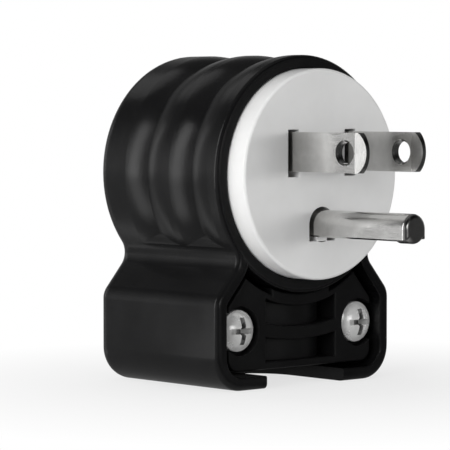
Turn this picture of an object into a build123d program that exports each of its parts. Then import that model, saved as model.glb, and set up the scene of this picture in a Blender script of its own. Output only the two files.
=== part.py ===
from build123d import *
import os
from math import atan2, cos, degrees, radians, sin, sqrt, tan

os.makedirs("parts", exist_ok=True)

# Right-angle straight blade plug, two flat blades and a U-shaped ground pin.
# The origin is the centre of the contact face. X is to the right as one faces the blades,
# Y runs into the housing, Z is up. The blades point along -Y and the cord leaves downward.

# Envelope
overall_height = 54.10
overall_width = 38.86
overall_depth = 34.29  # contact face to the back of the housing
barrel_radius = 19.43
face_projection = 3.75  # the contact face stands this far proud of the housing rim

# Housing walls
side_wall = 2.1
floor_wall = 2.1
back_wall = 2.8
collar_wall = 2.1
barrel_wall = 2.5  # at the bottom of a grip groove
seat_depth = 4.0  # from the rim to the ledge that the face rests on

# Outside form of the housing
neck_round = 2.5
neck_drop = 13.5  # height of the waist under the barrel axis
shoulder_slope = 49.4
shoulder_round = 3.3
corner_round = 5.5
rim_round = 0.9
inner_rim_round = 0.3
back_edge_round = 3.0
round_margin = 0.2  # the back edge stays this much under the shoulder's rounding
least_round = 0.6

# Grip bands round the barrel
band_pitch = 11.0
band_depth = 0.9
first_crest = 5.5
band_count = 3
fade_radius = 2.2  # the grooves run out on a cylinder of this radius above the neck
crest_land = 0.02  # keeps a narrow cylindrical land on each crest
fade_proud = 0.03

# Cord passage and strap
cord_radius = 8.7
cord_stop_wall = 1.6  # between the end of the cord's seat and the rear bore
wire_opening_radius = 6.5  # through that wall, for the three wires
strap_recess = 1.15  # strap front behind the rim plane
window_depth = 0.9  # from the strap front to the crown of the arch
arch_wall = 2.0
ear_thickness = 6.1
leg_length = 1.5  # how far the arch reaches past the ears
trough = 1.3  # between the strap and the side walls
strap_floor_gap = 0.9
strap_gap = 0.2
slot_height = 1.15  # the two curved slots under the collar
tab_half_width = 6.5
window_half_width = 7.8
top_rib = 2.0
middle_rib = 2.3
bottom_rib = 1.25
rib_sag = 0.75
strap_edge_round = 0.35

# Strap screws and their square nuts
strap_screw_rise = 0.55  # over the middle of the strap's height
strap_screw_inset = 2.7  # from the side of the strap
strap_screw_radius = 2.0
strap_head_radius = 3.4
strap_head_side = 1.0
strap_head_dome = 1.5
head_gap = 0.65
strap_seat_depth = 1.75
strap_screw_length = 14.5
nut_width = 7.0
nut_thickness = 2.2
nut_depth = 6.0  # from the tower top to the near side of the nut
tower_height = 8.8
saddle_rib_count = 3
saddle_rib_wall = 1.6

# Face
face_gap = 0.13
face_edge_round = 0.5
face_plate = 3.0
cup_wall = 1.9

# Blades, at the standard spacing
blade_spacing = 12.7
blade_height = 6.35
blade_thickness = 1.52
blade_length = 16.8
blade_z = 3.76
blade_tip_drop = 1.6
bevel_length = 2.2
blade_edge = 0.75  # thickness left at the tip
blade_hole_radius = 1.75
blade_hole_from_face = 12.35
hole_chamfer = 0.3
blade_slot_gap = 0.42
blade_slot_below = 0.9
blade_slot_above = 0.35
slot_edge_round = 0.15
shoulder_extra = 1.3  # the shoulder stands out this far on each side of the blade
shoulder_length = 2.2

# Ground pin
ground_drop = 11.89  # under the centre line of the blades
pin_radius = 2.38
pin_wall = 1.1
pin_leg = 1.7
pin_length = 21.2
pin_shoulder_drop = 0.8
pin_shoulder_side = 0.2  # past each side of the terminal plate
nose_length = 3.0
nose_round = 0.8
nose_margin = 0.1  # the nose's rounding stays this much under the height of the legs
pin_slot_gap = 0.5
pin_slot_below = 1.0
tongue_gap = 0.18

# Terminals
terminal_width = 7.6
terminal_end = 20.0
terminal_screw_y = 15.0
terminal_screw_radius = 1.75
terminal_head_radius = 3.1
terminal_head_side = 1.5
terminal_head_dome = 0.5
wire_gap = 1.6
clamp_width = 7.2
clamp_thickness = 1.2
clamp_corner = 0.8
screw_end = 1.2  # the screw stands out this far past the tapped plate

# Terminal body
body_gap = 0.2
body_end = 24.0
flange_thickness = 2.0
partition = 1.5
partition_z = -2.4
partition_half_width = 12.5
skirt_wall = 1.5
skirt_bottom = 9.5
tube_radius = 3.0
tube_gap = 0.3  # between the tubes and the rear bore

# Assembly screws, from the back of the housing into inserts in the face
assembly_angle = 31.0
assembly_screw_radius = 1.75
assembly_head_radius = 3.1
assembly_head_side = 1.6
assembly_head_dome = 0.6
assembly_seat_depth = 3.5
assembly_boss_wall = 1.2
insert_radius = 2.3
insert_length = 4.5
insert_bottom_gap = 0.5
insert_boss_wall = 0.8

# Drive recess in every screw
drive_width = 0.9
drive_depth = 1.2
tip_chamfer = 0.4
cross_length = 3.2

fit_gap = 0.05  # round a thread, a shank or an insert
hole_gap = 0.25  # round a screw in a clearance hole

# Derived places
rim_y = face_projection
seat_y = rim_y + seat_depth
back_y = overall_depth - back_wall
back_round = min(back_edge_round, shoulder_round - round_margin)
block_half = overall_width / 2
base_z = barrel_radius - overall_height
floor_z = base_z + floor_wall
bore_radius = barrel_radius - collar_wall
rear_bore_radius = barrel_radius - band_depth - barrel_wall
face_radius = bore_radius - face_gap
cup_radius = face_radius - cup_wall

strap_y = rim_y + strap_recess
ear_y = strap_y + ear_thickness
arch_radius = cord_radius + arch_wall
channel_y = strap_y + window_depth + arch_radius
leg_y = ear_y + leg_length
saddle_y = leg_y + hole_gap
strap_inset = side_wall + trough
strap_z = floor_z + strap_floor_gap
strap_top_radius = barrel_radius + strap_gap
strap_screw_x = block_half - strap_inset - strap_screw_inset
strap_screw_z = (strap_z - strap_top_radius) / 2 + strap_screw_rise
strap_hole_radius = strap_screw_radius + hole_gap
tower_width = block_half - side_wall - (strap_screw_x - nut_width / 2 - fit_gap) + hole_gap
cord_seat_z = -(rear_bore_radius + cord_stop_wall)
wire_opening_top = -sqrt(rear_bore_radius**2 - wire_opening_radius**2)

ground_z = blade_z - ground_drop
shoulder_y = face_plate + shoulder_length
pin_shoulder_half = terminal_width / 2 + pin_shoulder_side
bolt_circle = rear_bore_radius - tube_radius - tube_gap
assembly_x = bolt_circle * cos(radians(assembly_angle))
assembly_z = -bolt_circle * sin(radians(assembly_angle))
assembly_head_y = overall_depth - assembly_seat_depth
insert_y = seat_y - insert_length
flange_radius = rear_bore_radius - body_gap
spigot_radius = cup_radius - body_gap
blade_centres = {"hot": -blade_spacing / 2, "neutral": blade_spacing / 2}


def section(y, z=0):
    # A plane parallel to the contact face at depth y. Its own x is X and its own y is Z.
    return Plane(origin=(0, y, z), x_dir=(1, 0, 0), z_dir=(0, -1, 0))


def front_outline(inset, base_inset):
    # Barrel, neck, shoulders and block as one closed outline in the current sketch,
    # set in from the outside of the housing
    neck_x = sqrt((barrel_radius + neck_round) ** 2 - neck_drop**2)
    neck_turn = degrees(atan2(neck_drop, neck_x))
    slope = radians(shoulder_slope)
    neck_radius = neck_round + inset
    half_width = block_half - inset
    base = base_z + base_inset
    slope_x = neck_x - neck_radius * sin(slope)
    slope_z = -neck_drop - neck_radius * cos(slope)
    shoulder_z = slope_z - (half_width - slope_x) * tan(slope)
    corners = [max(shoulder_round - inset, least_round), max(corner_round - inset, least_round)]
    with BuildLine() as outline:
        CenterArc((0, 0), barrel_radius - inset, 90, -90 - neck_turn)
        CenterArc((neck_x, -neck_drop), neck_radius, 180 - neck_turn, 90 + neck_turn - shoulder_slope)
        FilletPolyline(
            (slope_x, slope_z), (half_width, shoulder_z), (half_width, base), (0, base), radius=corners
        )
        mirror(about=Plane.YZ)
    make_face(outline.edges())


def machine_screw(seat, head_radius, head_side, head_dome, shank_radius, shank_length):
    # The seat plane lies under the head and faces out of it
    top = head_side + head_dome
    with BuildPart() as screw:
        with BuildSketch(Plane(origin=seat.origin, x_dir=seat.x_dir, z_dir=-seat.y_dir)):
            with BuildLine():
                TangentArc((0, top), (head_radius, head_side), tangent=(1, 0))
                Polyline(
                    (head_radius, head_side),
                    (head_radius, 0),
                    (shank_radius, 0),
                    (shank_radius, tip_chamfer - shank_length),
                    (shank_radius - tip_chamfer, -shank_length),
                    (0, -shank_length),
                    (0, top),
                )
            make_face()
        revolve(axis=Axis(seat.origin, seat.z_dir))
        with BuildSketch(seat.offset(top)):
            Rectangle(drive_width, 2 * head_radius)
            Rectangle(cross_length, drive_width)
        extrude(amount=-drive_depth, mode=Mode.SUBTRACT)
    return screw.part


# Grip grooves: what lies outside the convex bands, less a zone that lets them run out at the neck
with BuildPart() as grip_grooves:
    groove_radius = barrel_radius - band_depth
    crest_radius = barrel_radius + crest_land
    last_crest = first_crest + (band_count - 1) * band_pitch
    with BuildSketch(Plane.XY):
        with BuildLine():
            Polyline(
                (crest_radius, last_crest),
                (crest_radius + band_depth, last_crest),
                (crest_radius + band_depth, first_crest),
                (crest_radius, first_crest),
            )
            TangentArc(
                (crest_radius, first_crest), (groove_radius, first_crest + band_pitch / 2), tangent=(0, 1)
            )
            for band in range(1, band_count - 1):
                crest = first_crest + band * band_pitch
                ThreePointArc(
                    (groove_radius, crest - band_pitch / 2),
                    (crest_radius, crest),
                    (groove_radius, crest + band_pitch / 2),
                )
            TangentArc(
                (crest_radius, last_crest), (groove_radius, last_crest - band_pitch / 2), tangent=(0, -1)
            )
        make_face()
    revolve(axis=Axis.Y)
    neck_share = barrel_radius / (barrel_radius + neck_round)
    waist_z = -neck_drop * neck_share
    waist_x = sqrt(barrel_radius**2 - waist_z**2)
    fade_share = (barrel_radius + fade_proud - fade_radius) / barrel_radius
    fade_x = waist_x * fade_share
    fade_z = waist_z * fade_share
    with BuildSketch(section(rim_y)):
        with Locations((fade_x, fade_z), (-fade_x, fade_z)):
            Circle(fade_radius)
        with Locations((0, waist_z)):
            Rectangle(3 * barrel_radius, 2 * barrel_radius, align=(Align.CENTER, Align.MAX))
    extrude(amount=-overall_depth, mode=Mode.SUBTRACT)

# Housing: grip barrel, neck and hollow cord block in one moulding
with BuildPart() as housing:
    with BuildSketch(section(rim_y)):
        front_outline(0, 0)
    extrude(amount=-(overall_depth - rim_y))
    fillet(housing.faces().sort_by(Axis.Y)[-1].edges(), back_round)
    fillet(housing.faces().sort_by(Axis.Y)[0].edges(), rim_round)
    add(grip_grooves.part, mode=Mode.SUBTRACT)
    # bore for the face, with a ledge behind it
    with BuildSketch(section(rim_y)):
        Circle(bore_radius)
    extrude(amount=-seat_depth, mode=Mode.SUBTRACT)
    fillet(housing.edges(Select.LAST).group_by(Axis.Y)[0], inner_rim_round)
    with BuildSketch(section(seat_y)):
        Circle(rear_bore_radius)
    extrude(amount=-(back_y - seat_y), mode=Mode.SUBTRACT)
    # hollow of the block, open to the front and closed off from the barrel by the collar
    with BuildSketch(section(rim_y)):
        front_outline(side_wall, floor_wall)
        Circle(barrel_radius, mode=Mode.SUBTRACT)
    extrude(amount=-(back_y - rim_y), mode=Mode.SUBTRACT)
    fillet(housing.edges(Select.LAST).group_by(Axis.Y)[0], inner_rim_round)
    # towers for the strap screws
    with BuildSketch(section(ear_y, strap_screw_z)):
        for side in (-1, 1):
            inward = Align.MAX if side > 0 else Align.MIN
            with Locations((side * (block_half - side_wall), 0)):
                Rectangle(tower_width, tower_height, align=(inward, Align.CENTER))
    extrude(amount=-(back_y - ear_y))
    # saddle ribs behind the cord
    with BuildSketch(section(saddle_y, floor_z)):
        for rib in range(1, saddle_rib_count + 1):
            with Locations((0, rib * (-barrel_radius - floor_z) / (saddle_rib_count + 1))):
                Rectangle(2 * (block_half - side_wall), saddle_rib_wall)
    extrude(amount=-(back_y - saddle_y))
    # bosses for the assembly screws
    with BuildSketch(section(body_end + body_gap, assembly_z)):
        with Locations((-assembly_x, 0), (assembly_x, 0)):
            Circle(assembly_head_radius + hole_gap + assembly_boss_wall)
    extrude(amount=-(back_y - body_end - body_gap))
    # round seat for the cord, an opening for its wires into the barrel, and the open front at the feet
    with BuildSketch(Plane.XY.offset(base_z)):
        with Locations((0, channel_y)):
            Circle(cord_radius)
    extrude(amount=cord_seat_z - base_z, mode=Mode.SUBTRACT)
    with BuildSketch(Plane.XY.offset(cord_seat_z)):
        with Locations((0, channel_y)):
            Circle(wire_opening_radius)
    extrude(amount=wire_opening_top - cord_seat_z, mode=Mode.SUBTRACT)
    with BuildSketch(Plane.XY.offset(base_z)):
        with Locations((0, channel_y)):
            Rectangle(2 * cord_radius, channel_y, align=(Align.CENTER, Align.MAX))
    extrude(amount=floor_wall, mode=Mode.SUBTRACT)
    # room for the legs of the strap beside the towers
    with BuildSketch(Plane.XY.offset(floor_z)):
        with Locations((0, channel_y)):
            Circle(arch_radius + hole_gap)
        with Locations((0, saddle_y)):
            Rectangle(4 * arch_radius, 2 * arch_radius, align=(Align.CENTER, Align.MIN), mode=Mode.SUBTRACT)
    extrude(amount=-barrel_radius - floor_z, mode=Mode.SUBTRACT)
    # strap screw holes with slots for the nuts, entered from above
    with Locations(section(ear_y, strap_screw_z)):
        with Locations((-strap_screw_x, 0), (strap_screw_x, 0)):
            Hole(strap_hole_radius, depth=strap_seat_depth + strap_screw_length - ear_thickness)
    with BuildSketch(section(ear_y + nut_depth, strap_screw_z - nut_width / 2 - fit_gap)):
        with Locations((-strap_screw_x, 0), (strap_screw_x, 0)):
            Rectangle(nut_width + 2 * fit_gap, tower_height, align=(Align.CENTER, Align.MIN))
    extrude(amount=-(nut_thickness + 2 * fit_gap), mode=Mode.SUBTRACT)
    # assembly screws from the back
    with Locations(Plane(origin=(0, overall_depth, assembly_z), x_dir=(-1, 0, 0), z_dir=(0, 1, 0))):
        with Locations((-assembly_x, 0), (assembly_x, 0)):
            CounterBoreHole(
                assembly_screw_radius + hole_gap, assembly_head_radius + hole_gap, assembly_seat_depth,
                depth=overall_depth - body_end - body_gap,
            )
housing.part.label = "housing"
export_step(housing.part, "parts/housing.step")

# Cord strap: two ears and a half-round arch stiffened by three ribs
with BuildPart() as window_cores:
    strap_height = -strap_top_radius - strap_z
    open_height = (strap_height - top_rib - middle_rib - bottom_rib) / 2
    upper_top = -strap_top_radius - top_rib
    lower_bottom = strap_z + bottom_rib
    with BuildSketch(section(strap_y)):
        for top, bottom, top_sag, bottom_sag in (
            (upper_top, upper_top - open_height, 2 * rib_sag, rib_sag),
            (lower_bottom + open_height, lower_bottom, rib_sag, 0),
        ):
            upper = Vector(window_half_width, top + top_sag)
            lower = Vector(window_half_width, bottom + bottom_sag)
            with BuildLine():
                ThreePointArc((-upper.X, upper.Y), (0, top), upper)
                Line(upper, lower)
                if bottom_sag:
                    ThreePointArc(lower, (0, bottom), (-lower.X, lower.Y))
                else:
                    Line(lower, (-lower.X, lower.Y))
                Line((-lower.X, lower.Y), (-upper.X, upper.Y))
            make_face()
    extrude(amount=-ear_thickness)
    with BuildSketch(Plane.XY.offset(strap_z)):
        with Locations((0, channel_y)):
            Circle(arch_radius)
    extrude(amount=-strap_z, mode=Mode.SUBTRACT)

with BuildPart() as cord_strap:
    with BuildSketch(section(strap_y)):
        front_outline(strap_inset, strap_z - base_z)
    extrude(amount=-ear_thickness)
    with BuildSketch(Plane.XY.offset(strap_z)):
        with Locations((0, channel_y)):
            Circle(arch_radius)
        with Locations((0, leg_y)):
            Rectangle(4 * arch_radius, 2 * arch_radius, align=(Align.CENTER, Align.MIN), mode=Mode.SUBTRACT)
    extrude(amount=-strap_z)
    # top edge: a central tab up to the collar, and a curved slot each side of it
    with BuildSketch(section(rim_y)):
        Circle(strap_top_radius)
    extrude(amount=-overall_depth, mode=Mode.SUBTRACT)
    with BuildSketch(section(rim_y)):
        Circle(barrel_radius + slot_height)
        Rectangle(2 * tab_half_width, 3 * barrel_radius, mode=Mode.SUBTRACT)
    extrude(amount=-overall_depth, mode=Mode.SUBTRACT)
    with BuildSketch(section(rim_y)):
        Rectangle(3 * barrel_radius, neck_drop, align=(Align.CENTER, Align.MAX))
    extrude(amount=-overall_depth, mode=Mode.SUBTRACT)
    add(window_cores.part, mode=Mode.SUBTRACT)
    with BuildSketch(Plane.XY.offset(strap_z)):
        with Locations((0, channel_y)):
            Circle(cord_radius)
    extrude(amount=-strap_z, mode=Mode.SUBTRACT)
    fillet(cord_strap.faces().sort_by(Axis.Y)[0].edges(), strap_edge_round)
    with Locations(section(strap_y, strap_screw_z)):
        with Locations((-strap_screw_x, 0), (strap_screw_x, 0)):
            CounterBoreHole(
                strap_hole_radius, strap_head_radius + head_gap, strap_seat_depth, depth=ear_thickness
            )
cord_strap.part.label = "cord_strap"
export_step(cord_strap.part, "parts/cord_strap.step")

# Face: the pale disc that meets the receptacle, hollow behind its front plate
with BuildPart() as face:
    with BuildSketch(section(0)):
        Circle(face_radius)
    extrude(amount=-seat_y)
    fillet(face.faces().sort_by(Axis.Y)[0].edges(), face_edge_round)
    with BuildSketch(section(face_plate)):
        Circle(cup_radius)
    extrude(amount=-(seat_y - face_plate), mode=Mode.SUBTRACT)
    with BuildSketch(section(face_plate, assembly_z)):
        with Locations((-assembly_x, 0), (assembly_x, 0)):
            Circle(insert_radius + fit_gap + insert_boss_wall)
    extrude(amount=-(seat_y - face_plate))
    with BuildSketch(section(insert_y, assembly_z)):
        with Locations((-assembly_x, 0), (assembly_x, 0)):
            Circle(insert_radius + fit_gap)
    extrude(amount=-insert_length, mode=Mode.SUBTRACT)
    # slots for the blades, longer below than above
    with BuildSketch(section(0, blade_z + (blade_slot_above - blade_slot_below) / 2)):
        with Locations(*((x, 0) for x in blade_centres.values())):
            Rectangle(
                blade_thickness + 2 * blade_slot_gap, blade_height + blade_slot_above + blade_slot_below
            )
    extrude(amount=-face_plate, mode=Mode.SUBTRACT)
    fillet(face.edges(Select.LAST).group_by(Axis.Y)[0], slot_edge_round)
    # U-shaped slot for the ground pin, with the tongue that fills the hollow of the pin
    with BuildSketch(section(0, ground_z)):
        Circle(pin_radius + pin_slot_gap)
        Rectangle(
            2 * (pin_radius + pin_slot_gap), pin_leg + pin_slot_below, align=(Align.CENTER, Align.MAX)
        )
        Circle(pin_radius - pin_wall - tongue_gap, mode=Mode.SUBTRACT)
        Rectangle(
            2 * (pin_radius - pin_wall - tongue_gap), pin_leg + pin_slot_below,
            align=(Align.CENTER, Align.MAX), mode=Mode.SUBTRACT,
        )
    extrude(amount=-face_plate, mode=Mode.SUBTRACT)
face.part.label = "face"
export_step(face.part, "parts/face.step")

# Flat blades: rounded and bevelled tip, shoulder behind the face, tapped terminal plate
for name, x in blade_centres.items():
    blade_side = Plane(origin=(x - blade_thickness / 2, 0, blade_z), x_dir=(0, 1, 0), z_dir=(1, 0, 0))
    with BuildPart() as blade:
        with BuildSketch(blade_side):
            with BuildLine():
                TangentArc(
                    (-blade_length, 0), (blade_tip_drop - blade_length, blade_height / 2), tangent=(0, 1)
                )
                Polyline(
                    (blade_tip_drop - blade_length, blade_height / 2),
                    (face_plate, blade_height / 2),
                    (face_plate, blade_height / 2 + shoulder_extra),
                    (shoulder_y, blade_height / 2 + shoulder_extra),
                    (shoulder_y, terminal_width / 2),
                    (terminal_end, terminal_width / 2),
                    (terminal_end, 0),
                )
                mirror(about=Plane.XZ)
            make_face()
            with Locations((terminal_screw_y, 0)):
                Circle(terminal_screw_radius + fit_gap, mode=Mode.SUBTRACT)
        extrude(amount=blade_thickness)
        for side in (-1, 1):
            hole_place = (x + side * blade_thickness / 2, -blade_hole_from_face, blade_z)
            with Locations(Plane(origin=hole_place, z_dir=(side, 0, 0))):
                CounterSinkHole(
                    blade_hole_radius, blade_hole_radius + hole_chamfer,
                    depth=blade_thickness, counter_sink_angle=90,
                )
        with BuildSketch(Plane.XY.offset(blade_z)):
            for side in (-1, 1):
                with BuildLine():
                    Polyline(
                        (x + side * blade_thickness / 2, bevel_length - blade_length),
                        (x + side * blade_thickness, -blade_length),
                        (x + side * blade_edge / 2, -blade_length),
                        close=True,
                    )
                make_face()
        extrude(amount=blade_height, both=True, mode=Mode.SUBTRACT)
    blade.part.label = f"{name}_blade"
    export_step(blade.part, f"parts/{name}_blade.step")

# Ground pin: folded strip with a closed nose, a shoulder and a flat tapped tail
pin_shoulder_height = pin_radius + pin_leg + pin_shoulder_drop
with BuildPart() as ground_pin:
    with BuildSketch(section(-pin_length, ground_z)):
        Circle(pin_radius)
        Rectangle(2 * pin_radius, pin_leg, align=(Align.CENTER, Align.MAX))
    extrude(amount=-(pin_length + face_plate))
    fillet(ground_pin.faces().sort_by(Axis.Y)[0].edges(), min(nose_round, pin_leg - nose_margin))
    with BuildSketch(section(face_plate, ground_z)):
        with Locations((0, pin_radius)):
            Rectangle(2 * pin_shoulder_half, pin_shoulder_height, align=(Align.CENTER, Align.MAX))
    extrude(amount=-shoulder_length)
    with BuildSketch(section(nose_length - pin_length, ground_z)):
        Circle(pin_radius - pin_wall)
        Rectangle(2 * (pin_radius - pin_wall), 2 * pin_leg, align=(Align.CENTER, Align.MAX))
    extrude(amount=-(pin_length - nose_length + shoulder_y), mode=Mode.SUBTRACT)
    with BuildSketch(section(shoulder_y, ground_z)):
        with Locations((0, pin_radius)):
            Rectangle(terminal_width, pin_wall, align=(Align.CENTER, Align.MAX))
    extrude(amount=-(terminal_end - shoulder_y))
    with Locations(Plane(origin=(0, terminal_screw_y, ground_z + pin_radius))):
        Hole(terminal_screw_radius + fit_gap, depth=pin_wall)
ground_pin.part.label = "ground_pin"
export_step(ground_pin.part, "parts/ground_pin.step")

# Terminal screws and clamp plates. Each terminal plane lies on the wire side of its tapped plate.
hot_x = blade_centres["hot"] - blade_thickness / 2
neutral_x = blade_centres["neutral"] + blade_thickness / 2
tail_z = ground_z + pin_radius - pin_wall
terminals = {
    "hot": Plane(origin=(hot_x, terminal_screw_y, blade_z), x_dir=(0, 1, 0), z_dir=(-1, 0, 0)),
    "neutral": Plane(origin=(neutral_x, terminal_screw_y, blade_z), x_dir=(0, 1, 0), z_dir=(1, 0, 0)),
    "ground": Plane(origin=(0, terminal_screw_y, tail_z), x_dir=(1, 0, 0), z_dir=(0, 0, -1)),
}
for name, plane in terminals.items():
    plate = pin_wall if name == "ground" else blade_thickness
    with BuildPart() as clamp:
        with BuildSketch(plane.offset(wire_gap)):
            RectangleRounded(clamp_width, clamp_width, clamp_corner)
            Circle(terminal_screw_radius + hole_gap, mode=Mode.SUBTRACT)
        extrude(amount=clamp_thickness)
    clamp.part.label = f"{name}_clamp_plate"
    export_step(clamp.part, f"parts/{name}_clamp_plate.step")
    under_head = wire_gap + clamp_thickness
    terminal_screw = machine_screw(
        plane.offset(under_head), terminal_head_radius, terminal_head_side, terminal_head_dome,
        terminal_screw_radius, under_head + plate + screw_end,
    )
    terminal_screw.label = f"{name}_terminal_screw"
    export_step(terminal_screw, f"parts/{name}_terminal_screw.step")

# Terminal body: holds the shoulders against the face and parts the three wires
with BuildPart() as terminal_body:
    with BuildSketch(section(face_plate + body_gap)):
        Circle(spigot_radius)
        with Locations((-assembly_x, assembly_z), (assembly_x, assembly_z)):
            Circle(insert_radius + fit_gap + insert_boss_wall + body_gap, mode=Mode.SUBTRACT)
    extrude(amount=-(seat_y - face_plate - body_gap))
    with BuildSketch(section(seat_y)):
        Circle(flange_radius)
    extrude(amount=-flange_thickness)
    with BuildSketch(section(seat_y + flange_thickness)):
        with Locations((0, partition_z)):
            Rectangle(2 * partition_half_width, partition)
        with Locations((0, partition_z)):
            Rectangle(partition, flange_radius - skirt_wall - partition_z, align=(Align.CENTER, Align.MIN))
        with Locations((-assembly_x, assembly_z), (assembly_x, assembly_z)):
            Circle(tube_radius)
    extrude(amount=-(body_end - seat_y - flange_thickness))
    with BuildSketch(section(seat_y + flange_thickness)):
        Circle(flange_radius)
        Circle(flange_radius - skirt_wall, mode=Mode.SUBTRACT)
        with Locations((0, skirt_bottom)):
            Rectangle(
                3 * flange_radius, 3 * flange_radius, align=(Align.CENTER, Align.MAX), mode=Mode.SUBTRACT
            )
    extrude(amount=-(body_end - seat_y - flange_thickness))
    # pockets for the shoulders and passages for the terminal plates
    blade_shoulder = blade_height + 2 * (shoulder_extra + body_gap)
    with BuildSketch(section(face_plate + body_gap)):
        for x in blade_centres.values():
            with Locations((x, blade_z)):
                Rectangle(blade_thickness + 2 * body_gap, blade_shoulder)
        with Locations((0, ground_z + pin_radius + body_gap)):
            Rectangle(
                2 * (pin_shoulder_half + body_gap), pin_shoulder_height + 2 * body_gap,
                align=(Align.CENTER, Align.MAX),
            )
    extrude(amount=-(shoulder_length - body_gap), mode=Mode.SUBTRACT)
    with BuildSketch(section(shoulder_y)):
        for x in blade_centres.values():
            with Locations((x, blade_z)):
                Rectangle(blade_thickness + 2 * body_gap, terminal_width + 2 * body_gap)
        with Locations((0, ground_z + pin_radius - pin_wall / 2)):
            Rectangle(terminal_width + 2 * body_gap, pin_wall + 2 * body_gap)
    extrude(amount=-(seat_y + flange_thickness - shoulder_y), mode=Mode.SUBTRACT)
    with Locations(section(seat_y, assembly_z)):
        with Locations((-assembly_x, 0), (assembly_x, 0)):
            Hole(assembly_screw_radius + hole_gap, depth=body_end - seat_y)
terminal_body.part.label = "terminal_body"
export_step(terminal_body.part, "parts/terminal_body.step")

# Paired pieces, left and right
for side, name in ((-1, "left"), (1, "right")):
    seat_place = (side * assembly_x, assembly_head_y, assembly_z)
    back_seat = Plane(origin=seat_place, x_dir=(-1, 0, 0), z_dir=(0, 1, 0))
    assembly_screw = machine_screw(
        back_seat, assembly_head_radius, assembly_head_side, assembly_head_dome, assembly_screw_radius,
        assembly_head_y - insert_y - insert_bottom_gap,
    )
    assembly_screw.label = f"assembly_screw_{name}"
    export_step(assembly_screw, f"parts/assembly_screw_{name}.step")

    with BuildPart() as insert:
        with BuildSketch(section(insert_y, assembly_z)):
            with Locations((side * assembly_x, 0)):
                Circle(insert_radius)
                Circle(assembly_screw_radius + fit_gap, mode=Mode.SUBTRACT)
        extrude(amount=-insert_length)
    insert.part.label = f"threaded_insert_{name}"
    export_step(insert.part, f"parts/threaded_insert_{name}.step")

    strap_seat = section(strap_y + strap_seat_depth, strap_screw_z)
    strap_seat.origin = strap_seat.origin + Vector(side * strap_screw_x, 0, 0)
    strap_screw = machine_screw(
        strap_seat, strap_head_radius, strap_head_side, strap_head_dome,
        strap_screw_radius, strap_screw_length,
    )
    strap_screw.label = f"strap_screw_{name}"
    export_step(strap_screw, f"parts/strap_screw_{name}.step")

    with BuildPart() as nut:
        with BuildSketch(section(ear_y + nut_depth + fit_gap, strap_screw_z)):
            with Locations((side * strap_screw_x, 0)):
                Rectangle(nut_width, nut_width)
                Circle(strap_screw_radius + fit_gap, mode=Mode.SUBTRACT)
        extrude(amount=-nut_thickness)
    nut.part.label = f"strap_nut_{name}"
    export_step(nut.part, f"parts/strap_nut_{name}.step")
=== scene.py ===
import math

import bmesh
import bpy
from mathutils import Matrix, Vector


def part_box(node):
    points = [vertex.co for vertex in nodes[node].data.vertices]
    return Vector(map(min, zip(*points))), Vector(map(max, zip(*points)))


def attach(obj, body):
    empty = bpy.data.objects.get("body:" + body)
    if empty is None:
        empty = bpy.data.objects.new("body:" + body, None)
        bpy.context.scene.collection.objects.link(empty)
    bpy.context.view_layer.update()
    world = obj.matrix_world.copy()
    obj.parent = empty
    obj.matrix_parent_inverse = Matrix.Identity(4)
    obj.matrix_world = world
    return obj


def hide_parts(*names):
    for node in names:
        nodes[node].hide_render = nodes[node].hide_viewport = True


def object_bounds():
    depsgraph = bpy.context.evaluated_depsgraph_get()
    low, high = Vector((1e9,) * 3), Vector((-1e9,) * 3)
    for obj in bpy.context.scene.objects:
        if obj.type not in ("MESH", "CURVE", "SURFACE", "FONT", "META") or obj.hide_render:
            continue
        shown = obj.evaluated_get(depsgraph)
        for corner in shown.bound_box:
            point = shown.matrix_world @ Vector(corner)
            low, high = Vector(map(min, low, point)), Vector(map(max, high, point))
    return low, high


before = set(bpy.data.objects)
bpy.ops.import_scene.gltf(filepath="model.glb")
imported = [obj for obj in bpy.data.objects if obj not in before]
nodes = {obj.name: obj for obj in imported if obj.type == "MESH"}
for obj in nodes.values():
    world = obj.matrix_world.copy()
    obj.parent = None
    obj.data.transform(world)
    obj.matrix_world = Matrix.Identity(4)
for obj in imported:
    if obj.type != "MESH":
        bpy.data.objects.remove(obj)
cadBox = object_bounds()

print("frame loaded with", len(nodes), "pieces")

mm = 0.001
perMm = 1000.0  # texture scales are written per millimetre


# Small helpers for the node trees. A value is a plain number, vector or colour, or another socket.

def setOrLink(tree, socket, value):
    if isinstance(value, bpy.types.NodeSocket):
        tree.links.new(value, socket)
    elif socket.type == "RGBA":
        socket.default_value = (*value, 1)
    else:
        socket.default_value = value


def newGroup(name, inputs, outputs):
    # inputs are name: default value, and every output is a plain value
    group = bpy.data.node_groups.new(name, "ShaderNodeTree")
    for label, value in inputs.items():
        socket = group.interface.new_socket(name=label, in_out="INPUT", socket_type="NodeSocketFloat")
        socket.default_value = value
    for label in outputs:
        group.interface.new_socket(name=label, in_out="OUTPUT", socket_type="NodeSocketFloat")
    return group, group.nodes.new("NodeGroupInput").outputs, group.nodes.new("NodeGroupOutput").inputs


def mathNode(tree, operation, *values):
    node = tree.nodes.new("ShaderNodeMath")
    node.operation = operation
    for socket, value in zip(node.inputs, values):
        setOrLink(tree, socket, value)
    return node.outputs[0]


def times(tree, first, second):
    return mathNode(tree, "MULTIPLY", first, second)


def vectorNode(tree, operation, *values):
    node = tree.nodes.new("ShaderNodeVectorMath")
    node.operation = operation
    for socket, value in zip(node.inputs, values):
        setOrLink(tree, socket, value)
    return node.outputs["Value" if operation in ("DOT_PRODUCT", "LENGTH") else "Vector"]


def splitVector(tree, vector):
    node = tree.nodes.new("ShaderNodeSeparateXYZ")
    tree.links.new(vector, node.inputs[0])
    return node.outputs["X"], node.outputs["Y"], node.outputs["Z"]


def joinVector(tree, x=0.0, y=0.0, z=0.0):
    node = tree.nodes.new("ShaderNodeCombineXYZ")
    for socket, value in zip(node.inputs, (x, y, z)):
        setOrLink(tree, socket, value)
    return node.outputs[0]


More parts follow.
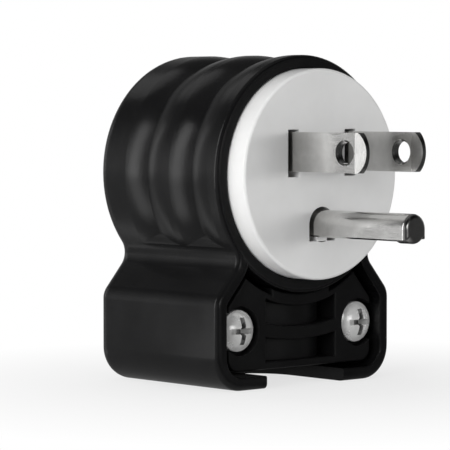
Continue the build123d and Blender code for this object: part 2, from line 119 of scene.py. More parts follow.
def rangeNode(tree, value, fromLow, fromHigh, toLow=0.0, toHigh=1.0):
    node = tree.nodes.new("ShaderNodeMapRange")
    setOrLink(tree, node.inputs["Value"], value)
    setOrLink(tree, node.inputs["From Min"], fromLow)
    setOrLink(tree, node.inputs["From Max"], fromHigh)
    setOrLink(tree, node.inputs["To Min"], toLow)
    setOrLink(tree, node.inputs["To Max"], toHigh)
    return node.outputs["Result"]


def noiseNode(tree, vector, scale, detail=2.0, rough=0.5):
    node = tree.nodes.new("ShaderNodeTexNoise")
    tree.links.new(vector, node.inputs["Vector"])
    setOrLink(tree, node.inputs["Scale"], scale)
    node.inputs["Detail"].default_value = detail
    node.inputs["Roughness"].default_value = rough
    return node.outputs["Fac"]


def mixColours(tree, factor, first, second):
    node = tree.nodes.new("ShaderNodeMix")
    node.data_type = "RGBA"
    tree.links.new(factor, node.inputs["Factor"])
    colourInputs = [socket for socket in node.inputs if socket.type == "RGBA"]
    setOrLink(tree, colourInputs[0], first)
    setOrLink(tree, colourInputs[1], second)
    return next(socket for socket in node.outputs if socket.type == "RGBA")


def objectPlace(tree):
    return tree.nodes.new("ShaderNodeTexCoord").outputs["Object"]


# Effects that several materials share. A noise is written as its detail and its roughness.

noiseMiddle = 0.5
noiseSpan = (0.3, 0.7)  # nearly all of a noise's values lie in here

grainShape = {
    "fineNoise": (3.0, 0.55),
    "fineShare": 0.7,
    "pitNoise": (1.0, 0.4),
    "pitScale": 0.37,  # of the fine grain's scale
    "pitShare": 0.3,
    "mottleNoise": (4.0, 0.6),
}


def makeMouldGrain():
    # fine eroded-tool texture and a slow change of shade, as moulded nylon has
    group, given, result = newGroup(
        "mouldGrain", {"Grain Per Mm": 3.0, "Mottle Per Mm": 0.12}, ("Grain", "Mottle")
    )
    place = objectPlace(group)
    scale = times(group, given["Grain Per Mm"], perMm)
    fine = noiseNode(group, place, scale, *grainShape["fineNoise"])
    pits = noiseNode(group, place, times(group, scale, grainShape["pitScale"]), *grainShape["pitNoise"])
    fine = times(group, fine, grainShape["fineShare"])
    group.links.new(mathNode(group, "ADD", fine, times(group, pits, grainShape["pitShare"])), result["Grain"])
    slow = times(group, given["Mottle Per Mm"], perMm)
    group.links.new(noiseNode(group, place, slow, *grainShape["mottleNoise"]), result["Mottle"])
    return group


streakShape = {"cloudPerMm": 0.22, "cloudNoise": (3.0, 0.55)}


def makeDrawnStreaks():
    # fine lines along Y, left by drawing and stamping the strip
    group, given, result = newGroup(
        "drawnStreaks", {"Across Per Mm": 9.0, "Along Per Mm": 0.25}, ("Streak", "Cloud")
    )
    place = objectPlace(group)
    across = times(group, given["Across Per Mm"], perMm)
    along = times(group, given["Along Per Mm"], perMm)
    stretched = vectorNode(group, "MULTIPLY", place, joinVector(group, across, along, across))
    group.links.new(noiseNode(group, stretched, 1.0), result["Streak"])
    cloud = noiseNode(group, place, streakShape["cloudPerMm"] * perMm, *streakShape["cloudNoise"])
    group.links.new(cloud, result["Cloud"])
    return group


scratchShape = {
    "turns": (0.35, -0.9),  # radians, one for each direction of scratches
    "tiltShare": 0.4,
    "squeeze": (1.0, 0.06, 1.0),  # what makes a noise long and thin
    "lineNoise": (1.0, 0.4),
    "thinness": 60.0,
    "patchesPerMm": 0.35,
    "patchEdge": (0.75, 0.8),  # where a patch of scratches begins, less the share, and is full
}


def makeHandlingScratches():
    # short thin scratches in two directions, from handling and from being plugged in
    group, given, result = newGroup("handlingScratches", {"Lines Per Mm": 5.0, "Share": 0.25}, ("Scratch",))
    place = objectPlace(group)
    lines = times(group, given["Lines Per Mm"], perMm)
    scratches = []
    for turn in scratchShape["turns"]:
        rotate = group.nodes.new("ShaderNodeVectorRotate")
        rotate.rotation_type = "EULER_XYZ"
        rotate.inputs["Rotation"].default_value = (turn, turn * scratchShape["tiltShare"], turn)
        group.links.new(place, rotate.inputs["Vector"])
        squeezed = vectorNode(group, "MULTIPLY", rotate.outputs[0], scratchShape["squeeze"])
        level = noiseNode(group, squeezed, lines, *scratchShape["lineNoise"])
        offMiddle = mathNode(group, "ABSOLUTE", mathNode(group, "SUBTRACT", level, noiseMiddle))
        line = mathNode(group, "SUBTRACT", 1.0, times(group, offMiddle, scratchShape["thinness"]))
        scratches.append(mathNode(group, "MAXIMUM", line, 0.0))
    most = mathNode(group, "MAXIMUM", *scratches)
    patches = noiseNode(group, place, scratchShape["patchesPerMm"] * perMm)
    low, high = scratchShape["patchEdge"]
    where = rangeNode(group, patches, mathNode(group, "SUBTRACT", low, given["Share"]), high)
    group.links.new(times(group, most, where), result["Scratch"])
    return group


ringShape = {"cloudPerMm": 0.6, "cloudNoise": (3.0, 0.55)}


def makeTurnedRings():
    # rings round the axis of a screw head, left by the lathe or the heading die
    group, given, result = newGroup(
        "turnedRings", {"Centre X": 0.0, "Centre Z": 0.0, "Rings Per Mm": 6.0}, ("Ring", "Cloud")
    )
    place = objectPlace(group)
    x, _, z = splitVector(group, place)
    offX = mathNode(group, "SUBTRACT", x, given["Centre X"])
    offZ = mathNode(group, "SUBTRACT", z, given["Centre Z"])
    radius = vectorNode(group, "LENGTH", joinVector(group, x=offX, z=offZ))
    rings = times(group, radius, times(group, given["Rings Per Mm"], perMm))
    group.links.new(noiseNode(group, joinVector(group, x=rings), 1.0), result["Ring"])
    cloud = noiseNode(group, place, ringShape["cloudPerMm"] * perMm, *ringShape["cloudNoise"])
    group.links.new(cloud, result["Cloud"])
    return group


recessShape = {
    "halfWidth": 0.47 * mm,
    "halfHeight": 2.2 * mm,  # of the upright arm
    "halfLength": 2.2 * mm,  # of the level arm
    "levelShare": 0.55,  # how much of the painted shade the level arm shows
}


def makeDriveRecess():
    # 1 inside the cross recess of a screw head that faces along Y, where painted shade goes
    inputs = {
        "Centre X": 0.0,
        "Centre Z": 0.0,
        "Half Width": recessShape["halfWidth"],
        "Half Height": recessShape["halfHeight"],
        "Half Length": recessShape["halfLength"],
    }
    group, given, result = newGroup("driveRecess", inputs, ("Recess",))
    x, _, z = splitVector(group, objectPlace(group))
    offX = mathNode(group, "ABSOLUTE", mathNode(group, "SUBTRACT", x, given["Centre X"]))
    offZ = mathNode(group, "ABSOLUTE", mathNode(group, "SUBTRACT", z, given["Centre Z"]))

    def arm(offAcross, offAlong, halfLength):
        narrow = mathNode(group, "LESS_THAN", offAcross, given["Half Width"])
        return times(group, narrow, mathNode(group, "LESS_THAN", offAlong, given[halfLength]))

    upright = arm(offX, offZ, "Half Height")
    level = times(group, arm(offZ, offX, "Half Length"), recessShape["levelShare"])
    group.links.new(mathNode(group, "MAXIMUM", upright, level), result["Recess"])
    return group


tarnishAndShadeShape = {
    "cleanFrom": -6.5 * mm,
    "dullTo": -0.5 * mm,
    "cloudPerMm": 0.5,
    "cloudNoise": (3.0, 0.6),
    "unevenness": 6 * mm,  # how far the cloud moves its edge
}


def makeRootTarnishAndShade():
    # 1 at the foot of a blade, running out towards the tip: tarnish where no contact wipes it, and painted
    # shade where the blade meets the face
    inputs = {"Clean From": tarnishAndShadeShape["cleanFrom"], "Dull To": tarnishAndShadeShape["dullTo"]}
    group, given, result = newGroup("rootTarnishAndShade", inputs, ("TarnishAndShade",))
    place = objectPlace(group)
    cloud = noiseNode(group, place, tarnishAndShadeShape["cloudPerMm"] * perMm, *tarnishAndShadeShape["cloudNoise"])
    uneven = times(group, mathNode(group, "SUBTRACT", cloud, noiseMiddle), tarnishAndShadeShape["unevenness"])
    along = mathNode(group, "ADD", splitVector(group, place)[1], uneven)
    group.links.new(rangeNode(group, along, given["Clean From"], given["Dull To"]), result["TarnishAndShade"])
    return group


mouldGrain = makeMouldGrain()
drawnStreaks = makeDrawnStreaks()
handlingScratches = makeHandlingScratches()
turnedRings = makeTurnedRings()
driveRecess = makeDriveRecess()
rootTarnishAndShade = makeRootTarnishAndShade()
print("shared effects made")


# Materials

def newMaterial(name):
    material = bpy.data.materials.new(name)
    material.use_nodes = True
    tree = material.node_tree
    tree.nodes.clear()
    shader = tree.nodes.new("ShaderNodeBsdfPrincipled")
    output = tree.nodes.new("ShaderNodeOutputMaterial")
    tree.links.new(shader.outputs[0], output.inputs["Surface"])
    return material, tree, shader


def useGroup(tree, group, **values):
    # Lines_Per_Mm=3.5 sets the input named Lines Per Mm
    node = tree.nodes.new("ShaderNodeGroup")
    node.node_tree = group
    for label, value in values.items():
        node.inputs[label.replace("_", " ")].default_value = value
    return node.outputs


def useScratches(tree, look):
    values = {"Lines_Per_Mm": look["scratchesPerMm"], "Share": look["scratchShare"]}
    return useGroup(tree, handlingScratches, **values)["Scratch"]


def shadeBetween(tree, noise, look):
    # the look's dark and light colours, by a slow noise
    return mixColours(tree, rangeNode(tree, noise, *noiseSpan), look["darkColour"], look["lightColour"])


def roughnessAround(tree, noise, look):
    middleValue, spread = look["roughness"], look["roughSpread"]
    return rangeNode(tree, noise, *noiseSpan, middleValue - spread, middleValue + spread)


def addBump(tree, shader, height, distance):
    bump = tree.nodes.new("ShaderNodeBump")
    bump.inputs["Distance"].default_value = distance
    tree.links.new(height, bump.inputs["Height"])
    tree.links.new(bump.outputs[0], shader.inputs["Normal"])


def rimMask(tree, look):
    # the rim round the face, by its radius and its place along the axis
    x, y, z = splitVector(tree, objectPlace(tree))
    radius = vectorNode(tree, "LENGTH", joinVector(tree, x=x, z=z))
    inside = rangeNode(tree, radius, *look["rimRadius"], 1.0, 0.0)
    return times(tree, inside, rangeNode(tree, y, *look["rimDepth"], 1.0, 0.0))


def makeMouldedNylon(name, look):
    material, tree, shader = newMaterial(name)
    grain = useGroup(tree, mouldGrain, Grain_Per_Mm=look["grainPerMm"], Mottle_Per_Mm=look["mottlePerMm"])
    scratch = useScratches(tree, look)
    colour = shadeBetween(tree, grain["Mottle"], look)
    colour = mixColours(tree, times(tree, scratch, look["scratchShow"]), colour, look["scratchColour"])
    tree.links.new(colour, shader.inputs["Base Color"])
    rough = roughnessAround(tree, grain["Mottle"], look)
    rough = mathNode(tree, "SUBTRACT", rough, times(tree, scratch, look["scratchPolish"]))
    if "rimRoughness" in look:
        rough = mathNode(tree, "MAXIMUM", rough, times(tree, rimMask(tree, look), look["rimRoughness"]))
    tree.links.new(rough, shader.inputs["Roughness"])
    shader.inputs["Specular IOR Level"].default_value = look["specular"]
    addBump(tree, shader, grain["Grain"], look["grainDepth"])
    return material


def makeDrawnMetal(name, look):
    material, tree, shader = newMaterial(name)
    drawn = useGroup(tree, drawnStreaks, Across_Per_Mm=look["acrossPerMm"], Along_Per_Mm=look["alongPerMm"])
    scratch = useScratches(tree, look)
    colour = shadeBetween(tree, drawn["Cloud"], look)
    colour = mixColours(tree, times(tree, scratch, look["scratchShow"]), colour, look["scratchColour"])
    # tarnish and painted shade at the blade's root, running out towards the tip
    tarnishAndShade = times(tree, useGroup(tree, rootTarnishAndShade)["TarnishAndShade"], look["tarnishAndShade"])
    colour = mixColours(tree, tarnishAndShade, colour, look["tarnishAndShadeColour"])
    tree.links.new(colour, shader.inputs["Base Color"])
    tree.links.new(roughnessAround(tree, drawn["Streak"], look), shader.inputs["Roughness"])
    shader.inputs["Metallic"].default_value = 1.0
    height = mathNode(tree, "SUBTRACT", drawn["Streak"], times(tree, scratch, look["scratchDepth"]))
    addBump(tree, shader, height, look["streakDepth"])
    return material


def makeTurnedMetal(name, look, centre):
    material, tree, shader = newMaterial(name)
    axis = {"Centre_X": centre.x, "Centre_Z": centre.z}
    turned = useGroup(tree, turnedRings, Rings_Per_Mm=look["ringsPerMm"], **axis)
    scratch = useScratches(tree, look)
    colour = shadeBetween(tree, turned["Cloud"], look)
    # painted shade in the cross recess, made uneven by a slow noise
    cover = rangeNode(tree, turned["Cloud"], *look["recessShadeSpan"], 1.0, look["paintedRecessShade"])
    paintedRecessShade = times(tree, useGroup(tree, driveRecess, **axis)["Recess"], cover)
    colour = mixColours(tree, paintedRecessShade, colour, look["recessShadeColour"])
    tree.links.new(colour, shader.inputs["Base Color"])
    rough = roughnessAround(tree, turned["Cloud"], look)
    rough = mathNode(tree, "ADD", rough, times(tree, paintedRecessShade, look["recessShadeRoughness"]))
    tree.links.new(rough, shader.inputs["Roughness"])
    shader.inputs["Metallic"].default_value = look["metallic"]
    height = mathNode(tree, "SUBTRACT", turned["Ring"], times(tree, scratch, look["scratchDepth"]))
    addBump(tree, shader, height, look["ringDepth"])
    return material


blackNylonLook = {
    "darkColour": (0.004, 0.004, 0.0042),
    "lightColour": (0.0063, 0.0063, 0.0066),
    "scratchColour": (0.03, 0.03, 0.03),
    "scratchShow": 0.12,
    "scratchPolish": 0.08,  # what a scratch takes off the roughness
    "roughness": 0.22,
    "roughSpread": 0.035,
    "specular": 0.45,
    "grainPerMm": 3.4,
    "grainDepth": 0.02 * mm,
    "mottlePerMm": 0.11,
    "scratchesPerMm": 3.5,
    "scratchShare": 0.12,
}
housingLook = dict(
    blackNylonLook,
    rimRoughness=0.95,  # the rim round the face is left matte
    rimRadius=(18.7 * mm, 19.2 * mm),
    rimDepth=(4.0 * mm, 4.3 * mm),
)
strapLook = dict(blackNylonLook, roughness=0.46, mottlePerMm=0.16)
bodyColours = {"darkColour": (0.03, 0.03, 0.034), "lightColour": (0.045, 0.045, 0.05)}
bodyLook = dict(blackNylonLook, **bodyColours, roughness=0.5)
faceLook = {
    "darkColour": (0.73, 0.73, 0.725),
    "lightColour": (0.79, 0.79, 0.785),
    "scratchColour": (0.83, 0.83, 0.83),
    "scratchShow": 0.15,
    "scratchPolish": 0.08,
    "roughness": 0.4,
    "roughSpread": 0.04,
    "specular": 0.4,
    "grainPerMm": 4.5,
    "grainDepth": 0.006 * mm,
    "mottlePerMm": 0.09,
    "scratchesPerMm": 4.0,
    "scratchShare": 0.1,
}
bladeLook = {
    "darkColour": (0.65, 0.645, 0.635),
    "lightColour": (0.84, 0.835, 0.82),
    "scratchColour": (0.88, 0.87, 0.85),
    "scratchShow": 0.5,
    "scratchDepth": 0.4,  # of the streaks' depth
    "tarnishAndShadeColour": (0.33, 0.325, 0.31),
    "tarnishAndShade": 0.7,
    "roughness": 0.17,
    "roughSpread": 0.04,
    "acrossPerMm": 11.0,
    "alongPerMm": 0.35,
    "streakDepth": 0.003 * mm,
    "scratchesPerMm": 4.5,
    "scratchShare": 0.3,
}
brassColours = {"darkColour": (0.62, 0.43, 0.17), "lightColour": (0.78, 0.58, 0.27)}
brassLook = dict(bladeLook, **brassColours, scratchColour=(0.9, 0.72, 0.4))
zincLook = {
    "metallic": 0.4,
    "darkColour": (0.82, 0.82, 0.81),
    "lightColour": (0.95, 0.95, 0.94),
    "recessShadeColour": (0.02, 0.02, 0.02),
    "paintedRecessShade": 0.75,  # the least cover of painted shade in the recess
    "recessShadeSpan": (0.25, 0.6),
    "recessShadeRoughness": 0.3,  # what the recess's painted shade adds to the roughness
    "roughness": 0.23,
    "roughSpread": 0.08,
    "ringsPerMm": 7.0,
    "ringDepth": 0.004 * mm,
    "scratchesPerMm": 5.0,
    "scratchShare": 0.35,
    "scratchDepth": 0.6,  # of the rings' depth
}
brassScrewLook = dict(zincLook, **brassColours)
greenScrewLook = dict(zincLook, darkColour=(0.06, 0.26, 0.12), lightColour=(0.11, 0.38, 0.19))


def dress(name, material):
    node = nodes[name]
    node.data.materials.clear()
    node.data.materials.append(material)


def middle(name):
    low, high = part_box(name)
    return (low + high) / 2


for pieceName, makeOne, look in (
    ("housing", makeMouldedNylon, housingLook),
    ("cord_strap", makeMouldedNylon, strapLook),
    ("face", makeMouldedNylon, faceLook),
    ("terminal_body", makeMouldedNylon, bodyLook),
    ("hot_blade", makeDrawnMetal, bladeLook),
    ("neutral_blade", makeDrawnMetal, bladeLook),
    ("ground_pin", makeDrawnMetal, bladeLook),
    ("hot_clamp_plate", makeDrawnMetal, brassLook),
    ("neutral_clamp_plate", makeDrawnMetal, brassLook),
    ("ground_clamp_plate", makeDrawnMetal, brassLook),
):
    dress(pieceName, makeOne(pieceName + "Finish", look))

for pieceName, look in (
    ("hot_terminal_screw", brassScrewLook),
    ("neutral_terminal_screw", zincLook),
    ("ground_terminal_screw", greenScrewLook),
    ("assembly_screw_left", zincLook),
    ("assembly_screw_right", zincLook),
    ("threaded_insert_left", brassScrewLook),
    ("threaded_insert_right", brassScrewLook),
    ("strap_screw_left", zincLook),
    ("strap_screw_right", zincLook),
    ("strap_nut_left", zincLook),
    ("strap_nut_right", zincLook),
):
    dress(pieceName, makeTurnedMetal(pieceName + "Finish", look, middle(pieceName)))
print("materials made for", len(nodes), "pieces")


# Screws with a real thread and a cross recess, in place of the plain ones. Sizes are in mm.

screwDetail = {
    "edgeBreak": 0.12,  # under the edge of the head
    "neck": 0.15,  # where the head runs into the shank
    "play": 0.02,  # the crest of the thread lies this much inside the plain shank
    "threadFrom": 0.3,  # under the head
    "pointStart": 1.2,  # times the thread's depth, off the radius at the very end
    "pointSlope": 0.9,
    "armLean": 0.7,  # an arm's width at its bottom, of that at its top
    "cutOver": 0.3,  # how far the cutters stand over the head
    "coneTip": 0.3,
    "coneUnder": 0.2,  # how much deeper than the arms the cone in the middle goes
    "sharpFrom": 32,  # degrees between two faces, from which their edge stays sharp
}
screwSteps = {"round": 48, "dome": 9, "rim": 4, "perTurn": 6, "cone": 24}
strapScrew = {
    "facing": -1,  # the head faces -Y
    "headRadius": 3.4, "headSide": 1.0, "dome": 1.5, "rimWidth": 0.15, "rimHeight": 0.3,
    "shankRadius": 2.0, "length": 14.5, "plainPart": 1.0, "pitch": 0.7, "threadDepth": 0.34,
    "armTop": 2.15, "armBottom": 0.55, "armHalfWidth": 0.44, "recessDepth": 1.35, "coneRadius": 0.95,
}
assemblyScrew = {
    "facing": 1,
    "headRadius": 3.1, "headSide": 1.6, "dome": 0.6, "rimWidth": 0.125, "rimHeight": 0.25,
    "shankRadius": 1.75, "length": 27.04, "plainPart": 15.0, "pitch": 0.6, "threadDepth": 0.3,
    "armTop": 1.95, "armBottom": 0.5, "armHalfWidth": 0.4, "recessDepth": 1.35, "coneRadius": 0.85,
}


def headOutline(shape):
    # radius and height over the seat, from the middle of the head to its underside
    dome, side, rimWidth, rimHeight = (shape[key] for key in ("dome", "headSide", "rimWidth", "rimHeight"))
    edge = shape["headRadius"] - rimWidth
    sphere = (edge**2 + dome**2) / (2 * dome)
    points = []
    for step in range(1, screwSteps["dome"] + 1):
        radius = edge * step / screwSteps["dome"]
        points.append((radius, side + dome - sphere + math.sqrt(sphere**2 - radius**2)))
    for step in range(1, screwSteps["rim"] + 1):
        turn = math.pi / 2 * step / screwSteps["rim"]
        points.append((edge + rimWidth * math.sin(turn), side - rimHeight * (1 - math.cos(turn))))
    edgeBreak, neck = screwDetail["edgeBreak"], screwDetail["neck"]
    points.append((shape["headRadius"], edgeBreak))
    points.append((shape["headRadius"] - edgeBreak, 0.0))
    points.append((shape["shankRadius"] + neck, 0.0))
    points.append((shape["shankRadius"] - screwDetail["play"], -neck))
    return points


def threadRadius(shape, height, turn):
    # crest and root of the thread, which runs out under the head and at the point
    depth = -height
    cut = shape["threadDepth"] * min(1.0, max(0.0, (depth - shape["plainPart"]) / shape["pitch"]))
    wave = (height / shape["pitch"] + shape["facing"] * turn / (2 * math.pi)) % 1.0
    radius = shape["shankRadius"] - screwDetail["play"] - cut * abs(2 * wave - 1)
    endRadius = shape["shankRadius"] - shape["threadDepth"] * screwDetail["pointStart"]
    return min(radius, endRadius + (shape["length"] - depth) * screwDetail["pointSlope"])


def joinRings(build, upper, lower):
    for step in range(len(upper)):
        following = (step + 1) % len(upper)
        build.faces.new((upper[step], lower[step], lower[following], upper[following]))


def screwBody(shape, place):
    # one ring of points for each height, closed by a fan at both ends
    outline = headOutline(shape)
    threaded = shape["length"] - screwDetail["threadFrom"]
    count = int(threaded / shape["pitch"] * screwSteps["perTurn"])
    depths = [screwDetail["threadFrom"] + threaded * step / count for step in range(count + 1)]
    turns = [2 * math.pi * step / screwSteps["round"] for step in range(screwSteps["round"])]
    build = bmesh.new()

    def ring(height, radii):
        around = zip(turns, radii)
        return [build.verts.new(place(r * math.cos(turn), r * math.sin(turn), height)) for turn, r in around]

    rings = [ring(height, [radius] * len(turns)) for radius, height in outline]
    rings += [ring(-depth, [threadRadius(shape, -depth, turn) for turn in turns]) for depth in depths]
    for upper, lower in zip(rings, rings[1:]):
        joinRings(build, upper, lower)
    crown = build.verts.new(place(0, 0, shape["headSide"] + shape["dome"]))
    end = build.verts.new(place(0, 0, -shape["length"]))
    for step in range(len(turns)):
        following = (step + 1) % len(turns)
        build.faces.new((crown, rings[0][step], rings[0][following]))
        build.faces.new((end, rings[-1][following], rings[-1][step]))
    return build


def recessArm(shape, place, heights, upright):
    # one arm of the cross, shorter and narrower at its bottom
    build = bmesh.new()
    width = shape["armHalfWidth"]
    ends = ((shape["armTop"], width), (shape["armBottom"], width * screwDetail["armLean"]))
    rings = []
    for height, (long, short) in zip(heights, ends):
        halfX, halfZ = (short, long) if upright else (long, short)
        corners = ((-halfX, -halfZ), (halfX, -halfZ), (halfX, halfZ), (-halfX, halfZ))
        rings.append([build.verts.new(place(x, z, height)) for x, z in corners])
    build.faces.new(rings[0])
    build.faces.new(reversed(rings[1]))
    joinRings(build, *rings)
    return build


def recessCone(shape, place, heights):
    # the hollow in the middle, wide at the top
    top, bottom = heights
    bottom -= screwDetail["coneUnder"]
    build = bmesh.new()
    bmesh.ops.create_cone(
        build, cap_ends=True, segments=screwSteps["cone"], radius1=screwDetail["coneTip"],
        radius2=shape["coneRadius"], depth=top - bottom,
    )
    for vertex in build.verts:
        x, y, z = vertex.co
        vertex.co = place(x, y, (top + bottom) / 2 + z)
    return build


def meshObject(name, build):
    bmesh.ops.recalc_face_normals(build, faces=build.faces)
    mesh = bpy.data.meshes.new(name)
    build.to_mesh(mesh)
    build.free()
    piece = bpy.data.objects.new(name, mesh)
    bpy.context.scene.collection.objects.link(piece)
    return piece


def cutAway(piece, cutters):
    # takes the cutters out of the piece, applies that and removes them
    for cutter in cutters:
        cut = piece.modifiers.new(cutter.name, "BOOLEAN")
        cut.operation = "DIFFERENCE"
        cut.solver = "EXACT"
        cut.object = cutter
    bpy.context.view_layer.update()
    shaped = piece.evaluated_get(bpy.context.evaluated_depsgraph_get())
    whole, piece.data = piece.data, bpy.data.meshes.new_from_object(shaped)
    piece.modifiers.clear()
    for mesh in [whole, *(cutter.data for cutter in cutters)]:
        bpy.data.meshes.remove(mesh)  # a cutter goes with its mesh


def makeScrew(name, nodeName, shape):
    low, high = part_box(nodeName)
    facing = shape["facing"]
    centre = middle(nodeName)
    seatY = (high.y if facing < 0 else low.y) + facing * shape["length"] * mm

    def place(x, z, height):
        return Vector((centre.x + x * mm, seatY + facing * height * mm, centre.z + z * mm))

    screw = meshObject(name, screwBody(shape, place))
    top = shape["headSide"] + shape["dome"]
    heights = (top + screwDetail["cutOver"], top - shape["recessDepth"])
    cutAway(screw, [
        meshObject("levelArm", recessArm(shape, place, heights, False)),
        meshObject("uprightArm", recessArm(shape, place, heights, True)),
        meshObject("middleCone", recessCone(shape, place, heights)),
    ])
    for face in screw.data.polygons:
        face.use_smooth = True
    screw.data.set_sharp_from_angle(angle=math.radians(screwDetail["sharpFrom"]))
    screw.data.materials.clear()
    screw.data.materials.append(makeTurnedMetal(name + "Finish", zincLook, centre))
    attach(screw, "root")
    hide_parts(nodeName)
    print(name, "has", len(screw.data.polygons), "faces")


makeScrew("strapScrewLeft", "strap_screw_left", strapScrew)
makeScrew("strapScrewRight", "strap_screw_right", strapScrew)
makeScrew("assemblyScrewLeft", "assembly_screw_left", assemblyScrew)
makeScrew("assemblyScrewRight", "assembly_screw_right", assemblyScrew)


# Floor, room, light and camera. A direction points away from the plug.

roomValues = {
    "scattered": 0.38,  # the level at which the room lights the plug
    "mirrored": 0.38,  # what gloss shows of the pale room
    "mirroredDark": 0.04,  # and of its dark corner, in front and to the right
    "darkTowards": (0.669, -0.743, 0.0),
    "darkEdge": (0.66, 0.95),  # how well a direction lines up where the dark begins and is full
    "dimTowards": (-0.68, -0.733, 0.0),  # the dim side of the room, in front and to the left
    "dimEdge": (0.82, 0.95),
    "dimTo": 0.2,
    "fadeHeight": (0.05, 0.55),  # how high over the horizon the room begins to fade and has faded out
    "fadeTo": 0.12,
    "ceiling": 0.35,
    "ceilingHeight": (0.82, 1.0),
}


def lineUp(tree, direction, towards):
    # how well a direction lines up with another one: 1 along it, 0 square to it
    return vectorNode(tree, "DOT_PRODUCT", direction, towards)


def mirroredLevel(tree, bearing, level):
    # what gloss shows of the room in this direction, given the level of its pale part
    dark = lineUp(tree, bearing, roomValues["darkTowards"])
    dim = lineUp(tree, bearing, roomValues["dimTowards"])
    pale = rangeNode(tree, dark, *roomValues["darkEdge"], level, roomValues["mirroredDark"])
    return times(tree, pale, rangeNode(tree, dim, *roomValues["dimEdge"], 1.0, roomValues["dimTo"]))


def rayKinds(tree):
    # what the camera sees straight or through glass, what it sees mirrored, and scattered light
    rays = tree.nodes.new("ShaderNodeLightPath").outputs
    straight = mathNode(tree, "MAXIMUM", rays["Is Camera Ray"], rays["Is Transmission Ray"])
    return straight, rays["Is Glossy Ray"], rays["Is Diffuse Ray"]


def makeWorld():
    world = bpy.data.worlds.new("studio")
    bpy.context.scene.world = world
    world.use_nodes = True
    tree = world.node_tree
    background = tree.nodes["Background"]
    background.inputs["Color"].default_value = (1, 1, 1, 1)
    x, y, z = splitVector(tree, tree.nodes.new("ShaderNodeTexCoord").outputs["Generated"])
    bearing = vectorNode(tree, "NORMALIZE", joinVector(tree, x, y))
    height = mathNode(tree, "ABSOLUTE", z)
    low = rangeNode(tree, height, *roomValues["fadeHeight"], 1.0, roomValues["fadeTo"])
    ceiling = rangeNode(tree, height, *roomValues["ceilingHeight"], 0.0, roomValues["ceiling"])
    mirrored = mirroredLevel(tree, bearing, roomValues["mirrored"])
    mirrored = times(tree, mirrored, mathNode(tree, "ADD", low, ceiling))

    straight, gloss, diffuse = rayKinds(tree)
    strength = mathNode(tree, "MAXIMUM", straight, times(tree, gloss, mirrored))
    scattered = times(tree, diffuse, roomValues["scattered"])
    tree.links.new(mathNode(tree, "MAXIMUM", strength, scattered), background.inputs["Strength"])


floorValues = {
    "half": 1.6,
    "gap": 0.03 * mm,  # under the plug, so that the two surfaces don't fall together
    "colour": (0.88, 0.88, 0.88),
    "shadeShare": 0.97,  # of the colour, where the paper's fibre is darker
    "fibrePerMm": 0.4,
    "fibreDetail": 3.0,
    "white": 0.72,  # how much of the floor is plain white to the camera close to the plug
    "whiteReach": (20 * mm, 80 * mm),  # from the plug, where it begins to turn plain white and is
    "mirrored": 0.23,
    "softboxTowards": (-0.853, 0.522, 0.0),  # where gloss shows a painted glow on the floor that stands in for the softbox
    "softboxEdge": (0.984, 0.996),
    "softboxReach": (45 * mm, 70 * mm),
    "softboxLevel": 1.25,
    "stripFrom": (-18 * mm, 20 * mm, 0.0),  # a painted glow on the floor that stands in for the back strip, as a line from here
    "stripTowards": (-0.265, 0.964, 0.0),
    "stripEdge": (2 * mm, 7 * mm),
    "stripStart": (18 * mm, 28 * mm),
    "stripLevel": 0.6,
}


def paintedSoftboxGlow(tree, bearing, reach):
    # a painted glow on the floor where the softbox would show, seen only by gloss
    towards = lineUp(tree, bearing, floorValues["softboxTowards"])
    level = rangeNode(tree, towards, *floorValues["softboxEdge"], 0.0, floorValues["softboxLevel"])
    return times(tree, level, rangeNode(tree, reach, *floorValues["softboxReach"]))


def paintedStripGlow(tree):
    # a straight strip of painted glow, by its distance across and along
    place = vectorNode(tree, "SUBTRACT", objectPlace(tree), floorValues["stripFrom"])
    x, y, _ = floorValues["stripTowards"]
    across = mathNode(tree, "ABSOLUTE", lineUp(tree, place, (y, -x, 0.0)))
    along = lineUp(tree, place, (x, y, 0.0))
    level = rangeNode(tree, across, *floorValues["stripEdge"], floorValues["stripLevel"], 0.0)
    return times(tree, level, rangeNode(tree, along, *floorValues["stripStart"]))


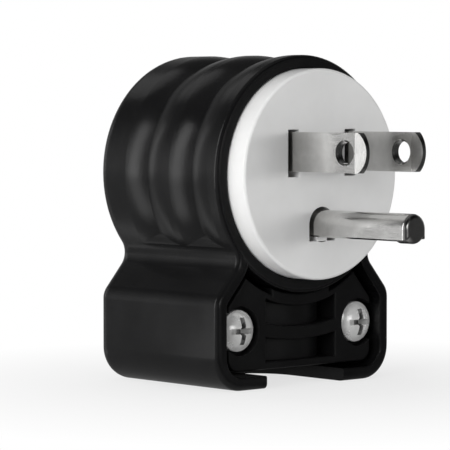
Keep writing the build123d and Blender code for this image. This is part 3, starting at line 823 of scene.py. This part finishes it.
def makePaper():
    material = bpy.data.materials.new("palePaper")
    material.use_nodes = True
    tree = material.node_tree
    tree.nodes.clear()
    paper = tree.nodes.new("ShaderNodeBsdfDiffuse")
    white = tree.nodes.new("ShaderNodeEmission")
    blend = tree.nodes.new("ShaderNodeMixShader")
    output = tree.nodes.new("ShaderNodeOutputMaterial")
    fibre = noiseNode(tree, objectPlace(tree), floorValues["fibrePerMm"] * perMm, floorValues["fibreDetail"])
    shade = tuple(floorValues["shadeShare"] * part for part in floorValues["colour"])
    tree.links.new(mixColours(tree, fibre, shade, floorValues["colour"]), paper.inputs["Color"])

    x, y, _ = splitVector(tree, objectPlace(tree))
    fromMiddle = mathNode(tree, "SUBTRACT", y, (cadBox[0].y + cadBox[1].y) / 2)
    level = joinVector(tree, x, fromMiddle)
    bearing, reach = vectorNode(tree, "NORMALIZE", level), vectorNode(tree, "LENGTH", level)
    plain = rangeNode(tree, reach, *floorValues["whiteReach"], floorValues["white"], 1.0)
    # to gloss the floor glows: the room's level, and painted glow where the softbox and the back strip would
    # show
    mirrored = mirroredLevel(tree, bearing, floorValues["mirrored"])
    mirrored = mathNode(tree, "MAXIMUM", mirrored, paintedSoftboxGlow(tree, bearing, reach))
    mirrored = mathNode(tree, "MAXIMUM", mirrored, paintedStripGlow(tree))

    straight, gloss, _ = rayKinds(tree)
    strength = mathNode(tree, "MAXIMUM", straight, times(tree, gloss, mirrored))
    tree.links.new(strength, white.inputs["Strength"])
    share = mathNode(tree, "MAXIMUM", times(tree, plain, straight), gloss)
    tree.links.new(share, blend.inputs[0])
    tree.links.new(paper.outputs[0], blend.inputs[1])
    tree.links.new(white.outputs[0], blend.inputs[2])
    tree.links.new(blend.outputs[0], output.inputs["Surface"])
    return material


def makeFloor():
    half = floorValues["half"]
    floorZ = cadBox[0].z - floorValues["gap"]
    build = bmesh.new()
    corners = ((-half, -half), (half, -half), (half, half), (-half, half))
    build.faces.new([build.verts.new((x, y, floorZ)) for x, y in corners])
    floor = meshObject("floor", build)
    floor.data.materials.append(makePaper())


# where each light stands as seen from the plug, its distance, its size and its level:
# a level of 1 alone would light a white surface that faces it to plain white
lamps = {
    "sideSoftbox": {"towards": (-0.853, 0.522, 0.1), "distance": 0.6, "size": (0.165, 0.75), "level": 0.2},
    "rightCard": {"towards": (0.9, 0.42, 0.12), "distance": 0.8, "size": (0.16, 0.5), "level": 0.035},
    "frontCard": {"towards": (-0.3, -0.93, 0.22), "distance": 0.7, "size": (0.25, 0.2), "level": 0.045},
    "backStrip": {"towards": (-0.265, 0.964, 0.0), "distance": 0.7, "size": (0.05, 0.6), "level": 0.018},
    "topWindow": {
        "towards": (0.06, 0.71, 0.7), "distance": 0.7, "size": (0.32, 0.3), "level": 0.016,
        "shape": "ELLIPSE",
    },
    # the soft ones leave no mirror image
    "sideKey": {
        "towards": (-0.95, -0.12, 0.14), "distance": 0.8, "size": (0.6, 0.3), "level": 0.83, "soft": True,
    },
    "frontKey": {
        "towards": (0.5, -0.86, 0.08), "distance": 0.9, "size": (0.6, 0.14), "level": 0.27, "soft": True,
    },
}


def makeLamps():
    aim = (cadBox[0] + cadBox[1]) / 2
    for name, values in lamps.items():
        light = bpy.data.lights.new(name, "AREA")
        light.shape = values.get("shape", "RECTANGLE")
        light.size, light.size_y = values["size"]
        light.energy = values["level"] * math.pi**2 * values["distance"] ** 2
        lamp = bpy.data.objects.new(name, light)
        lamp.visible_camera = False
        lamp.visible_glossy = not values.get("soft", False)
        towards = Vector(values["towards"]).normalized()
        lamp.location = aim + towards * values["distance"]
        lamp.rotation_mode = "QUATERNION"
        lamp.rotation_quaternion = towards.to_track_quat("Z", "Y")
        bpy.context.scene.collection.objects.link(lamp)


cameraValues = {
    "place": (-298.8, -307.8, 12.8),  # mm, in the frame of the plug
    "turn": 42.04,  # degrees from +Y towards +X
    "tilt": 2.81,  # degrees down
    "lens": 211.19,
    "sensorWidth": 36.0,
    "clip": (0.02, 10.0),
}


def makeCamera():
    data = bpy.data.cameras.new("photoCamera")
    data.sensor_width = cameraValues["sensorWidth"]
    data.lens = cameraValues["lens"]
    data.clip_start, data.clip_end = cameraValues["clip"]
    camera = bpy.data.objects.new("photoCamera", data)
    camera.location = Vector(cameraValues["place"]) * mm
    turn = math.radians(cameraValues["turn"])
    tilt = math.radians(cameraValues["tilt"])
    forward = Vector((math.sin(turn) * math.cos(tilt), math.cos(turn) * math.cos(tilt), -math.sin(tilt)))
    camera.rotation_mode = "QUATERNION"
    camera.rotation_quaternion = forward.to_track_quat("-Z", "Y")
    bpy.context.scene.collection.objects.link(camera)
    bpy.context.scene.camera = camera


makeFloor()
makeWorld()
makeLamps()
makeCamera()
bpy.context.scene.view_settings.view_transform = "Standard"
print("floor, light and camera placed")
